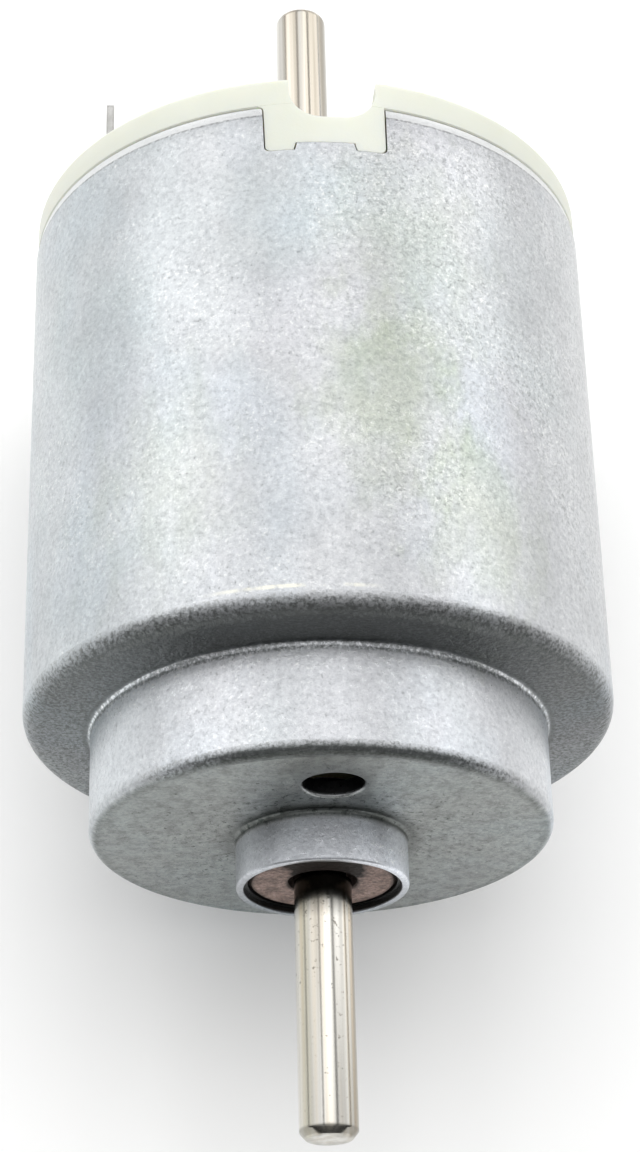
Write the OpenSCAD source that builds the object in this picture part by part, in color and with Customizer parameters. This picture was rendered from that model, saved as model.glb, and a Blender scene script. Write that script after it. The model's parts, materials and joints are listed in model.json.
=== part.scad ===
// Small round brushed DC motor with a permanent-magnet stator, a three-pole wound armature,
// leaf-spring brushes and a shaft that leaves the case at both ends.
// The shaft lies along Y: the drive end points to -Y and the terminal end to +Y.
// The origin is the centre of the flat front face, on the shaft axis.

/* [Case] */
// Outer radius of the steel can
can_r = 10.5; // [10.2:0.1:10.8]
// Thickness of the can's sheet steel
wall = 0.6; // [0.5:0.05:0.6]
// Distance from the front face to the can's shoulder
shoulder_y = 3.9; // [3.7:0.1:4.2]
// Distance from the front face to the can's rear rim
rim_y = 23.8; // [23.6:0.1:24.0]
// Outer radius of the narrow front drum
drum_r = 8.1; // [7.9:0.1:8.3]
// Outer radius of the bearing boss
boss_r = 3; // [2.9:0.05:3.1]
// How far the bearing boss stands out of the front face
boss_len = 1.8; // [1.6:0.1:2.1]
// Radius of the two fixing holes in the front face
fixing_r = 1.05; // [0.8:0.05:1.1]
// Diameter of the circle through the two fixing holes
fixing_pcd = 10.2; // [9.8:0.1:10.8]

/* [Shaft] */
// Radius of the shaft
shaft_r = 1; // [0.95:0.05:1.05]
// How far the shaft reaches in front of the front face
shaft_front = 10.5; // [8:0.5:14]
// How far the shaft's rear end lies behind the front face
shaft_rear = 36; // [30:0.5:40]
// Radial clearance between the shaft and its bushes
bush_gap = 0.03; // [0.02:0.01:0.05]

/* [End cap] */
// Thickness of the end cap's flange
flange_t = 1.2; // [1:0.1:1.4]
// Width of the key that fills the slot in the can's rim
key_w = 4.3; // [4.1:0.1:4.6]
// Sideways place of the key's middle
key_x = -0.15; // [-0.25:0.05:0.25]
// Axial length of the key in front of the can's rim
key_len = 2; // [1.8:0.05:2.2]
// Width of the notch in the key's rear
notch_w = 3.1; // [2.9:0.1:3.4]
// Sideways place of the notch's middle
notch_x = 0.15; // [-0.25:0.05:0.25]
// Axial depth of the notch
notch_len = 1.75; // [1.5:0.05:1.9]
// How far the terminals stand out behind the end cap
tab_len = 5.4; // [3:0.1:6]
// How far the left terminal sits above the shaft's axis, and the right one below it
tab_lift = 0.4; // [0:0.1:0.6]

/* [Magnets and armature] */
// Inner radius of the arc magnets
magnet_r = 6.95; // [6.9:0.05:7]
// Length of the arc magnets
magnet_len = 12.5; // [11:0.5:13]
// Outer radius of the lamination stack
stack_r = 6.55; // [6.4:0.05:6.6]
// Number of laminations
lamination_n = 20; // [16:1:20]
// Pitch of the laminations along the shaft
lamination_pitch = 0.5; // [0.45:0.05:0.5]

/* [Hidden] */

$fn = 96;
eps = 0.01;          // overshoot of a cutter past a face
poles = 3;

// Case
can_in = can_r - wall;
drum_in = drum_r - wall;
shoulder_fillet = 0.7;
drum_fillet = 0.3;
boss_fillet = 0.15;
rim_chamfer = 0.1;
mouth_r = 2.74;      // inner radius of the boss at its rolled lip
lip_r = 0.12;
lug_w = 1.2;         // pressed lugs that locate the magnets
lug_depth = 0.8;
lug_len = 3;
lug_y = 9;

// Front bearing
bush_r = 2.6;
bush_recess = 0.25;
bush_front = -boss_len + bush_recess;
bush_rear = 1.3;
bush_dish_r = 1.2;   // counterbore round the shaft
bush_dish_depth = 0.7;
bush_chamfer = 0.15;
bush_bore_r = shaft_r + bush_gap;

// Magnets
magnet_front = shoulder_y + wall + 0.6;
magnet_back = magnet_front + magnet_len;
magnet_half_angle = 64;
magnet_gap = 90 - magnet_half_angle;    // half the gap between the magnets, in degrees
lug_angle = magnet_gap - asin(lug_w / 2 / can_in) - 0.2;
spring_wire_r = 0.4;
spring_r = can_in - spring_wire_r - 0.05;
spring_angle = magnet_gap - asin(spring_wire_r / spring_r) - 0.2;

// End cap
flange_r = 10.45;
cap_rear = rim_y + flange_t;
skirt_front = 20.4;
skirt_in = 8.9;
skirt_gap = 0.02;
key_foot_w = 1.1;
key_step = 0.3;      // the key's feet reach this much further forward than its middle
key_root_z = 7.9;
key_gap = 0.05;
notch_corner = 1.2;
cap_boss_r = 3.2;
cap_boss_len = 1.5;
cap_lip_r = 1.6;     // opening in the rear of the cap's boss
rear_bush_r = 2.3;
rear_bush_front = 22.9;
rear_bush_back = cap_rear + cap_boss_len - 0.5;

// Oil-retaining necks of the shaft, hidden in the outer ends of the two bushes
neck_r = shaft_r - 0.18;
neck_len = 0.6;

// Terminals and brush gear
tab_x = 7.75;
tab_t = 0.3;
tab_w = 2.6;
tab_chamfer = 0.3;
tab_front = 21.2;
tab_strip_back = 23.4;
foot_bend = [7.35, -4.2];   // corners of the terminal's foot, in X and Z
foot_end = [6.5, -5.55];
eyelet_r = 0.6;
anchor_x = 5.4;
anchor_z = -6.1;
anchor_pin_r = 0.4;
anchor_eye_r = 0.62;
anchor_collar_r = 0.95;
arm_x = 3.75;
arm_t = 0.2;
arm_front = 19.8;
arm_back = 22.2;
brush_front = 20;
brush_back = 22;
brush_h = 2.2;
brush_gap = 0.05;

// Armature
web_w = 1.9;
hub_r = 2.4;
shoe_in = 5.7;       // inner radius of the pole shoes
shoe_half_angle = 53;
stack_front = 6.4;
stack_len = lamination_n * lamination_pitch;
stack_back = stack_front + stack_len;
lamination_gap = 0.03;
insulator_t = 0.3;
coil_build = 1.45;   // thickness of the winding round the web
coil_in = 2.85;
coil_out = 5.55;
coil_corner = 1.3;
web_gap = 0.05;

// Commutator
comm_r = 2.1;
comm_core_r = 1.75;
comm_front = 19.05;
comm_back = 22.4;
hub_flange_r = 2.7;
hub_front = 18.4;
segment_gap = 8;     // degrees between neighbouring segments
riser_t = 0.35;
riser_out = 4.2;
riser_w = 1.2;
ring_r = 2.55;
ring_len = 0.5;

// Parts that slide onto the shaft
washer_r = 1.9;
washer_t = 0.2;
seat_gap = 0.02;     // clearance of pressed parts, too small to see

// Turns a shape drawn round +Z so that its axis runs along +Y
module along_y() {
    rotate([-90, 0, 0]) children();
}

// A disc or tube on the shaft axis, from y = a to y = b
module tube(r_out, r_in, a, b) {
    translate([0, a, 0]) along_y() difference() {
        cylinder(r = r_out, h = b - a);
        translate([0, 0, -eps]) cylinder(r = r_in, h = b - a + 2 * eps);
    }
}

// A prism along Y from a flat outline drawn in X and Z
module prism(a, b) {
    translate([0, b, 0]) rotate([90, 0, 0]) linear_extrude(height = b - a) children();
}

// One straight run of sheet metal, seen on edge, with round ends
module run(p, q, t) {
    length = norm(q - p);
    angle = atan2(q[1] - p[1], q[0] - p[0]);
    translate(p) rotate(angle) translate([0, -t / 2]) square([length, t]);
    translate(p) circle(d = t, $fn = 24);
    translate(q) circle(d = t, $fn = 24);
}

// A bent strip of sheet metal through a list of corners
module strip(points, t) {
    for (i = [0 : len(points) - 2]) run(points[i], points[i + 1], t);
}

// A wedge from the origin, centred on +Z of an X-Z outline, half_angle either side
module wedge(r, half_angle) {
    reach = r / cos(half_angle / 2);
    polygon([[0, 0],
        [r * sin(-half_angle), r * cos(half_angle)],
        [reach * sin(-half_angle / 2), reach * cos(half_angle / 2)],
        [0, reach],
        [reach * sin(half_angle / 2), reach * cos(half_angle / 2)],
        [r * sin(half_angle), r * cos(half_angle)]]);
}

// A ring sector centred on +Z of an X-Z outline
module sector(r_out, r_in, half_angle) {
    difference() {
        intersection() {
            circle(r = r_out);
            wedge(2 * r_out, half_angle);
        }
        circle(r = r_in);
    }
}

// Half section of the can's outside, as radius against y
module can_outline() {
    difference() {
        union() {
            translate([0, shoulder_y]) square([can_r, rim_y - shoulder_y]);
            square([drum_r, shoulder_y + eps]);
            translate([0, -boss_len]) square([boss_r, boss_len + eps]);
            translate([boss_r, -boss_fillet]) square([boss_fillet, boss_fillet + eps]);
        }
        round_corner([can_r, shoulder_y], shoulder_fillet);
        round_corner([drum_r, 0], drum_fillet);
        round_corner([boss_r, -boss_len], lip_r);
        translate([boss_r + boss_fillet, -boss_fillet]) circle(r = boss_fillet);
        translate([can_r, rim_y]) rotate(45) square(rim_chamfer * sqrt(2), center = true);
    }
}

// Cutter that rounds a corner whose material lies inwards (-X) and rearwards (+Y)
module round_corner(corner, r) {
    translate([corner[0] - r, corner[1] - eps]) difference() {
        square([r + eps, r + eps]);
        translate([0, r + eps]) circle(r = r);
    }
}

// Half section of the hollow inside the can
module can_hollow() {
    inner_fillet = shoulder_fillet - wall / 2;
    difference() {
        translate([0, shoulder_y + wall]) square([can_in, rim_y]);
        round_corner([can_in, shoulder_y + wall], inner_fillet);
    }
    translate([0, wall]) square([drum_in, shoulder_y + wall]);
    translate([0, bush_front]) square([bush_r, boss_len + wall]);
    translate([0, -boss_len - eps]) square([mouth_r, bush_recess + eps]);
}

module motor_can() {
    color("gainsboro") difference() {
        union() {
            rotate([-90, 0, 0]) difference() {
                rotate_extrude() can_outline();
                rotate_extrude() can_hollow();
            }
            for (side = [-1, 1]) rotate([0, 180 + side * lug_angle, 0]) lug_block();
        }
        for (side = [-1, 1]) {
            rotate([0, 180 + side * lug_angle, 0]) lug_dent();
            translate([0, wall + eps, side * fixing_pcd / 2]) rotate([90, 0, 0])
                cylinder(r = fixing_r, h = wall + 2 * eps);
        }
        key_slot();
    }
}

// Inward bulge of a pressed lug, and the dent that it leaves outside
module lug_block() {
    translate([-lug_w / 2, lug_y, can_in - lug_depth]) cube([lug_w, lug_len, lug_depth + wall / 2]);
}

module lug_dent() {
    translate([-lug_w / 4, lug_y + lug_w / 4, can_r - lug_depth])
        cube([lug_w / 2, lug_len - lug_w / 2, lug_depth + eps]);
}

// Slot in the can's rim for the end cap's key, with a shallow tongue in its middle
module key_slot() {
    half = key_w / 2 + key_gap;
    tongue = key_w / 2 - key_foot_w - key_gap;
    difference() {
        translate([key_x - half, rim_y - key_len, key_root_z])
            cube([2 * half, key_len + 1, wall + can_r]);
        translate([key_x - tongue, rim_y - key_len - 1, key_root_z - 1])
            cube([2 * tongue, 1 + key_step, can_r]);
    }
}

// Sintered bush with a chamfered rim and a counterbore round the shaft
module front_bearing() {
    color("rosybrown") rotate([-90, 0, 0]) rotate_extrude() polygon([
        [bush_dish_r, bush_front],
        [bush_r - bush_chamfer, bush_front],
        [bush_r, bush_front + bush_chamfer],
        [bush_r, bush_rear],
        [bush_bore_r, bush_rear],
        [bush_bore_r, bush_front + bush_dish_depth],
        [bush_dish_r, bush_front + bush_dish_depth]]);
}

module magnet(side) {
    color("dimgray") prism(magnet_front, magnet_back) rotate(side * 90)
        sector(can_in - seat_gap, magnet_r, magnet_half_angle);
}

module magnet_left() {
    magnet(1);
}

module magnet_right() {
    magnet(-1);
}

// U-shaped wire spring that holds the magnets apart at the top of the can
module magnet_spring() {
    leg_x = spring_r * sin(spring_angle);
    leg_z = spring_r * cos(spring_angle);
    color("silver") {
        for (side = [-1, 1]) translate([side * leg_x, magnet_front, leg_z]) along_y()
            cylinder(r = spring_wire_r, h = magnet_len, $fn = 32);
        translate([0, magnet_front, leg_z]) rotate([0, 90, 0])
            cylinder(r = spring_wire_r, h = 2 * leg_x, center = true, $fn = 32);
        for (side = [-1, 1]) translate([side * leg_x, magnet_front, leg_z])
            sphere(r = spring_wire_r, $fn = 32);
    }
}

module end_cap() {
    color("ivory") difference() {
        union() {
            tube(flange_r, rear_bush_r, rim_y, cap_rear);
            tube(can_in - skirt_gap, skirt_in, skirt_front, rim_y + eps);
            tube(cap_boss_r, rear_bush_r, rear_bush_front + 0.4, cap_rear + cap_boss_len);
            tube(rear_bush_r + eps, cap_lip_r, rear_bush_back, cap_rear + cap_boss_len);
            key();
            for (side = [-1, 1]) translate([side * anchor_x, 0, anchor_z]) anchor_post();
        }
        notch();
        for (side = [-1, 1]) translate([side * tab_x, rim_y, -side * tab_lift])
            cube([tab_t + 2 * seat_gap, 3 * flange_t, tab_w + 2 * seat_gap], center = true);
    }
}

// Key of the end cap: a block with two feet, flush with the flange
module key() {
    half = key_w / 2;
    intersection() {
        difference() {
            translate([key_x - half, rim_y - key_len + key_gap, key_root_z])
                cube([key_w, key_len + eps, can_r - key_root_z]);
            translate([key_x - half + key_foot_w, rim_y - key_len, key_root_z - 1])
                cube([key_w - 2 * key_foot_w, key_step + key_gap, can_r]);
        }
        tube(flange_r, shaft_r, skirt_front, cap_rear);
    }
}

// Round-bottomed notch cut forwards into the key from the rear of the end cap
module notch() {
    half = notch_w / 2;
    flat = half - notch_corner;
    notch_y = cap_rear - notch_len;
    translate([notch_x, notch_y, key_root_z]) {
        translate([-half, notch_corner, 0]) cube([notch_w, notch_len, can_r]);
        translate([-flat, 0, 0]) cube([2 * flat, notch_len, can_r]);
        for (side = [-1, 1]) translate([side * flat, notch_corner, 0])
            cylinder(r = notch_corner, h = can_r);
    }
}

// Pin that a brush arm's eye sits on, with a collar at its root
module anchor_post() {
    translate([0, arm_front - 0.3, 0]) along_y()
        cylinder(r = anchor_pin_r, h = rim_y - arm_front + 0.3 + eps, $fn = 32);
    translate([0, arm_back + 0.1, 0]) along_y()
        cylinder(r = anchor_collar_r, h = rim_y - arm_back - 0.1 + eps, $fn = 32);
}

module rear_bearing() {
    color("rosybrown") tube(rear_bush_r, bush_bore_r, rear_bush_front, rear_bush_back);
}

// Terminal: an outer tab with an eyelet, and a bent foot that leads to the brush arm
module terminal(side) {
    middle = -side * tab_lift;
    corner = [side * tab_x, middle - tab_w / 2];
    chamfer_cut = tab_chamfer * sqrt(2);
    color("lightgray") {
        difference() {
            translate([side * tab_x - tab_t / 2, tab_front, middle - tab_w / 2])
                cube([tab_t, cap_rear + tab_len - tab_front, tab_w]);
            translate([side * tab_x, cap_rear + tab_len - tab_w / 2, middle]) rotate([0, 90, 0])
                cylinder(r = eyelet_r, h = 2 * tab_t, center = true, $fn = 48);
            for (end = [-1, 1]) translate([side * tab_x, cap_rear + tab_len, middle + end * tab_w / 2])
                rotate([45, 0, 0]) cube([2 * tab_t, chamfer_cut, chamfer_cut], center = true);
        }
        prism(tab_front, tab_strip_back)
            strip([corner, [side * foot_bend[0], foot_bend[1]], [side * foot_end[0], foot_end[1]]], tab_t);
    }
}

module terminal_left() {
    terminal(-1);
}

module terminal_right() {
    terminal(1);
}

// Leaf spring with an eye on the anchor post and a straight pad behind the brush
module brush_arm(side) {
    eye = [side * anchor_x, anchor_z];
    pad = [side * arm_x, -1.5];
    start = eye + (anchor_eye_r - arm_t / 2) * (pad - eye) / norm(pad - eye);
    color("goldenrod") prism(arm_front, arm_back) {
        translate(eye) difference() {
            circle(r = anchor_eye_r, $fn = 48);
            circle(r = anchor_pin_r + bush_gap, $fn = 48);
        }
        strip([start, pad, [side * arm_x, 1.5]], arm_t);
    }
}

module brush_arm_left() {
    brush_arm(-1);
}

module brush_arm_right() {
    brush_arm(1);
}

// Carbon block whose inner face follows the commutator
module carbon_brush(side) {
    back = arm_x - arm_t / 2;
    color("darkslategray") prism(brush_front, brush_back) difference() {
        translate([side * back / 2, 0]) square([back, brush_h], center = true);
        circle(r = comm_r + brush_gap);
    }
}

module carbon_brush_left() {
    carbon_brush(-1);
}

module carbon_brush_right() {
    carbon_brush(1);
}

// Shaft with a small chamfer in front and a fuller one at the rear
module shaft() {
    front_chamfer = 0.25;
    rear_chamfer = 0.3;
    color("silver") rotate([-90, 0, 0]) rotate_extrude() polygon([
        [0, -shaft_front],
        [shaft_r - front_chamfer, -shaft_front],
        [shaft_r, -shaft_front + front_chamfer],
        [shaft_r, bush_front],
        [neck_r, bush_front],
        [neck_r, bush_front + neck_len],
        [shaft_r, bush_front + neck_len],
        [shaft_r, rear_bush_back - neck_len],
        [neck_r, rear_bush_back - neck_len],
        [neck_r, rear_bush_back],
        [shaft_r, rear_bush_back],
        [shaft_r, shaft_rear - rear_chamfer],
        [shaft_r - rear_chamfer, shaft_rear],
        [0, shaft_rear]]);
}

module front_thrust_washer() {
    color("linen") tube(washer_r, bush_bore_r, bush_rear + 0.1, bush_rear + 0.1 + washer_t);
}

module front_spacer() {
    color("khaki") tube(washer_r - 0.2, shaft_r + seat_gap,
        bush_rear + 0.15 + washer_t, stack_front - insulator_t - seat_gap);
}

// Outline of one lamination: hub, three webs and three pole shoes
module lamination_outline(grow) {
    difference() {
        union() {
            circle(r = hub_r + grow);
            for (i = [0 : poles - 1]) rotate(i * 360 / poles) {
                sector(stack_r + grow / 4, shoe_in - grow, shoe_half_angle);
                translate([-web_w / 2 - grow, 0]) square([web_w + 2 * grow, stack_r - wall / 2]);
            }
        }
        circle(r = shaft_r + seat_gap);
    }
}

module lamination_stack() {
    color("slategray") for (i = [0 : lamination_n - 1]) {
        front = stack_front + i * lamination_pitch;
        prism(front + lamination_gap / 2, front + lamination_pitch - lamination_gap / 2)
            lamination_outline(0);
    }
}

module front_insulator() {
    color("seagreen") prism(stack_front - insulator_t, stack_front) lamination_outline(web_gap / 2);
}

module rear_insulator() {
    color("seagreen") prism(stack_back, stack_back + insulator_t) lamination_outline(web_gap / 2);
}

// Rectangle with round corners, centred on the origin
module rounded(w, h, r) {
    square([w - 2 * r, h], center = true);
    square([w, h - 2 * r], center = true);
    for (x = [-1, 1], y = [-1, 1]) translate([x * (w / 2 - r), y * (h / 2 - r)])
        circle(r = r, $fn = 32);
}

// One winding: a rounded frame round the web, trimmed to fit under the pole shoe
module coil(i) {
    inner_w = web_w + 4 * web_gap;
    inner_h = stack_len + 2 * insulator_t + 2 * web_gap;
    middle = (stack_front + stack_back) / 2;
    color("chocolate") rotate([0, i * 360 / poles, 0]) intersection() {
        translate([0, middle, coil_in]) linear_extrude(height = coil_out - coil_in) difference() {
            rounded(inner_w + 2 * coil_build, inner_h + 2 * coil_build, coil_corner);
            square([inner_w, inner_h], center = true);
        }
        along_y() cylinder(r = coil_out, h = cap_rear);
    }
}

module coil_1() {
    coil(0);
}

module coil_2() {
    coil(1);
}

module coil_3() {
    coil(2);
}

// Moulded core of the commutator with a flange behind the risers
module commutator_hub() {
    color("saddlebrown") {
        tube(comm_core_r, shaft_r + seat_gap, hub_front, comm_back);
        tube(hub_flange_r, shaft_r + seat_gap, hub_front, comm_front - riser_t);
    }
}

module commutator_ring() {
    color("saddlebrown") tube(ring_r, comm_r + seat_gap, comm_front, comm_front + ring_len);
}

// Copper segment with the riser that its coil ends are soldered to
module commutator_segment(i) {
    half = 180 / poles - segment_gap / 2;
    color("peru") rotate([0, (i + 0.5) * 360 / poles, 0]) {
        prism(comm_front - riser_t, comm_back) sector(comm_r, comm_core_r, half);
        prism(comm_front - riser_t, comm_front) translate([-riser_w / 2, comm_r - wall / 4])
            square([riser_w, riser_out - comm_r + wall / 4]);
    }
}

module commutator_segment_1() {
    commutator_segment(0);
}

module commutator_segment_2() {
    commutator_segment(1);
}

module commutator_segment_3() {
    commutator_segment(2);
}

// Solder beads on the tips of the three risers
module solder_joints() {
    bead_r = 0.55;
    color("lightgray") for (i = [0 : poles - 1]) rotate([0, (i + 0.5) * 360 / poles, 0])
        translate([0, comm_front, riser_out - bead_r]) difference() {
            sphere(r = bead_r, $fn = 32);
            translate([-bead_r, -2 * bead_r, -bead_r]) cube(2 * bead_r);
        }
}

module oil_slinger() {
    color("linen") tube(comm_core_r - 0.1, shaft_r + seat_gap, comm_back, comm_back + washer_t);
}

module rear_thrust_washer() {
    color("linen") tube(washer_r - 0.3, bush_bore_r,
        comm_back + washer_t + 0.05, rear_bush_front - 0.05);
}

motor_can();
front_bearing();
magnet_left();
magnet_right();
magnet_spring();
end_cap();
rear_bearing();
terminal_left();
terminal_right();
brush_arm_left();
carbon_brush_left();
brush_arm_right();
carbon_brush_right();
shaft();
front_thrust_washer();
front_spacer();
front_insulator();
lamination_stack();
rear_insulator();
coil_1();
coil_2();
coil_3();
commutator_hub();
commutator_ring();
commutator_segment_1();
commutator_segment_2();
commutator_segment_3();
solder_joints();
oil_slinger();
rear_thrust_washer();
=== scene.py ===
"""Looks of a small round brushed DC motor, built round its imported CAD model."""
import json
import math
from types import SimpleNamespace

import bmesh
import bpy
from mathutils import Matrix, Vector


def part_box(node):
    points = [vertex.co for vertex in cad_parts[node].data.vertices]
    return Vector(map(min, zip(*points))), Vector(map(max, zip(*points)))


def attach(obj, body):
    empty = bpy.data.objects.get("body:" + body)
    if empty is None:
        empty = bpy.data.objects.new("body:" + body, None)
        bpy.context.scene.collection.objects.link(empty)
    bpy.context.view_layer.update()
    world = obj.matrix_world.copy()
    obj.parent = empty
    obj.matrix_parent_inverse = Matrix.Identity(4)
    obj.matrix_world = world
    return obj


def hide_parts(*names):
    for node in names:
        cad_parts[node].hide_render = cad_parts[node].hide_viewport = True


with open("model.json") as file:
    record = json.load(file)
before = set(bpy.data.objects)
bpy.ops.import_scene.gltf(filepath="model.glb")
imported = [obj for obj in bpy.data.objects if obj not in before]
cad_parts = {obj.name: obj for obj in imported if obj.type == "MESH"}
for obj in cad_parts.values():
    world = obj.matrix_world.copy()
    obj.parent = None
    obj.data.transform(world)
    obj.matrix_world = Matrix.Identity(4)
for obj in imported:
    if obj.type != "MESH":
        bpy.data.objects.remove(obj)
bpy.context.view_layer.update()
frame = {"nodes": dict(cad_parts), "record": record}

MM = 0.001
STATOR, ROTOR = "stator", "rotor"
SIDES = (-1, 1)

# ---------------------------------------------------------------- sizes from the frame
can_low, can_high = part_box("motor_can")
cap_low, cap_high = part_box("end_cap")
shaft_low, shaft_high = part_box("shaft")
bush_low, bush_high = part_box("front_bearing")
rear_bush_low, rear_bush_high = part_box("rear_bearing")
tab_low, tab_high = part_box("terminal_right")
stack_low, stack_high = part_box("lamination_stack")

CAN_R = can_high[0]
RIM_Y = can_high[1]
BOSS_Y = can_low[1]
BUSH_R = bush_high[0]
BUSH_FACE = bush_low[1]
CAP_BACK = cap_high[1]
SHAFT_R = shaft_high[0]
NOSE_Y = shaft_low[1]

# ---------------------------------------------------------------- sizes of the can
WALL = 0.6 * MM
SHOULDER_Y = 3.9 * MM
DRUM_R = 8.1 * MM
BOSS_R = 3.0 * MM
MOUTH_R = 2.74 * MM
SHOULDER_FILLET = 0.7 * MM
SHOULDER_IN_FILLET = 0.4 * MM
DRUM_FILLET = 0.3 * MM
BOSS_FILLET = 0.15 * MM
STEP_FILLET = 0.2 * MM
LIP_R = 0.11 * MM
RIM_BAND, RIM_DROP, RIM_SOFT = 0.42 * MM, 0.07 * MM, 0.06 * MM
SIDE_STEPS = 24
FIXING_R, FIXING_PITCH_R = 1.05 * MM, 5.1 * MM
FIXING_FLARE = 0.1 * MM
LUG_W, LUG_LEN, LUG_DEPTH = 1.2 * MM, 3.0 * MM, 0.8 * MM
LUG_Y, LUG_ROUND, DENT_MARGIN = 9.0 * MM, 0.12 * MM, 0.3 * MM
LUG_ANGLE = math.radians(22.1)
OFF_GRID = math.radians(1.3)  # turns the drills, so that their edges don't meet the can's
CUT_PAST = 1 * MM  # how far a cutting tool runs past what it cuts
HAIR = 0.001 * MM  # keeps two faces from lying in one plane

# ---------------------------------------------------------------- sizes of the end cap
FLANGE_R = 10.45 * MM
FLANGE_FRONT = RIM_Y
FLANGE_BACK = RIM_Y + 1.2 * MM
SKIRT_IN, SKIRT_FRONT, SKIRT_PLAY = 8.9 * MM, 20.4 * MM, 0.02 * MM
CAP_SOFT, CAP_REAR_SOFT = 0.12 * MM, 0.22 * MM
KEY_X, KEY_W, KEY_LEN = -0.15 * MM, 4.3 * MM, 2.0 * MM
KEY_FOOT, KEY_STEP, KEY_SLANT = 1.1 * MM, 0.3 * MM, 0.08 * MM
KEY_FLARE, KEY_PLAY, KEY_TAPER = 0.2 * MM, 0.05 * MM, 0.04 * MM
KEY_CORNER, SLOT_CORNER = 0.22 * MM, 0.2 * MM
KEY_ROOT = 7.9 * MM
NOTCH_X, NOTCH_W, NOTCH_LEN = 0.15 * MM, 3.1 * MM, 1.75 * MM
NOTCH_CORNER, NOTCH_MOUTH = 1.2 * MM, 0.2 * MM
CAP_BOSS_R, CAP_LIP_R, CAP_WEB = 3.2 * MM, 1.6 * MM, 0.4 * MM
POST_X, POST_Z = 5.4 * MM, -6.1 * MM
POST_R, POST_FOOT_R, POST_EDGE = 0.4 * MM, 0.95 * MM, 0.06 * MM
POST_FOOT_Y, POST_ROOT_Y = 22.3 * MM, 24.0 * MM

# ---------------------------------------------------------------- sizes of the smaller pieces
BORE_PLAY = 0.03 * MM
BUSH_DISH_R, BUSH_DISH_DEPTH, BUSH_CHAMFER = 1.2 * MM, 0.7 * MM, 0.15 * MM
NECK_DEPTH, NECK_LEN = 0.18 * MM, 0.6 * MM
NOSE, NOSE_SOFT, TAIL = 0.3 * MM, 0.12 * MM, 0.3 * MM
TAB_X, TAB_T, TAB_W, TAB_LIFT = 7.75 * MM, 0.3 * MM, 2.6 * MM, 0.4 * MM
TAB_CORNER, TAB_SOFT, TAB_PLAY = 0.3 * MM, 0.035 * MM, 0.02 * MM
EYELET_R = 0.6 * MM
FOOT_BEND, FOOT_END, FOOT_BACK = (7.35 * MM, -4.2 * MM), (6.5 * MM, -5.55 * MM), 23.4 * MM
WIRE, WIRE_LAYERS, WIRE_SIDES, LAYER_PITCH, WIRE_FILL = 0.24 * MM, 6, 6, 0.93, 0.97
WEB_HALF, STACK_CLEAR, COIL_CORNER = 1.07 * MM, 0.36 * MM, 0.25 * MM
COIL_R_LOW, COIL_R_HIGH = 2.95 * MM, 5.5 * MM

# ---------------------------------------------------------------- light and floor
FLOOR_GLOW = 0.1
FLOOR_HALF = 1.5
OVERHEAD, OVERHEAD_FROM, OVERHEAD_WIDTH = 1.15, (0, 0.35, 1), math.radians(70)
BACKDROP = 1.0
TENT_FRONT, TENT_BACK, TENT_END = (0.07, 0.58), 1.36, 0.5
TENT_TOP_SIDE = (1.18, 1.26)
TENT_LOW_HIGH = (0.2, 1.0)
TENT_SEAMS = ((-24, 0.7), (28.6, 0.95))  # degrees from the top, depth
SEAM_CORE, SEAM_REACH = math.radians(1.5), math.radians(6.5)

# ---------------------------------------------------------------- camera
CAMERA_PLACE = (-7.27, -30.98, 81.66)  # in millimetres
CAMERA_FORWARD = (0.0813, 0.44999, -0.88934)
CAMERA_RIGHT = (0.99658, -0.02409, 0.07891)
CAMERA_LENS, CAMERA_SENSOR = 78.1, 36

# ---------------------------------------------------------------- mesh settings
LATHE_STEPS, CAP_STEPS, BUSH_STEPS, SHAFT_STEPS, POST_STEPS = 288, 192, 128, 96, 48
DRILL_STEPS = 96
SMOOTH_ANGLE = math.radians(32)
ROUND_ANGLE = math.radians(40)
WELD, SLIVER, ON_AXIS = 1e-8, 1e-7, 1e-9


# ---------------------------------------------------------------- outlines
def arc(centre, radius, start, end, steps=8):
    """Points on a circle from start to end, in degrees."""
    points = []
    for i in range(steps + 1):
        a = math.radians(start + (end - start) * i / steps)
        points.append((centre[0] + radius * math.cos(a), centre[1] + radius * math.sin(a)))
    return points


def rectangle(x0, x1, y0, y1):
    return [(x0, y0), (x1, y0), (x1, y1), (x0, y1)]


# ---------------------------------------------------------------- mesh building
def finish_mesh(bm, name):
    """Turns a bmesh into an object with smooth faces and sharp edges where the surface turns."""
    bmesh.ops.remove_doubles(bm, verts=bm.verts, dist=WELD)
    bmesh.ops.recalc_face_normals(bm, faces=bm.faces)
    mesh = bpy.data.meshes.new(name)
    bm.to_mesh(mesh)
    bm.free()
    obj = bpy.data.objects.new(name, mesh)
    bpy.context.scene.collection.objects.link(obj)
    shade(obj)
    return obj


def shade(obj):
    mesh = obj.data
    mesh.polygons.foreach_set("use_smooth", [True] * len(mesh.polygons))
    mesh.set_sharp_from_angle(angle=SMOOTH_ANGLE)


def lathe(name, outline, steps=LATHE_STEPS):
    """Turns a closed outline of (radius, y) points about the shaft axis."""
    bm = bmesh.new()
    rings = []
    for radius, y in outline:
        if radius < ON_AXIS:
            rings.append([bm.verts.new((0, y, 0))] * steps)
            continue
        ring = []
        for i in range(steps):
            a = 2 * math.pi * i / steps
            ring.append(bm.verts.new((radius * math.sin(a), y, radius * math.cos(a))))
        rings.append(ring)
    for one, other in zip(rings, rings[1:] + rings[:1]):
        for i in range(steps):
            j = (i + 1) % steps
            corners = []
            for v in (one[i], one[j], other[j], other[i]):
                if v not in corners:
                    corners.append(v)
            if len(corners) > 2:
                bm.faces.new(corners)
    return finish_mesh(bm, name)


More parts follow.
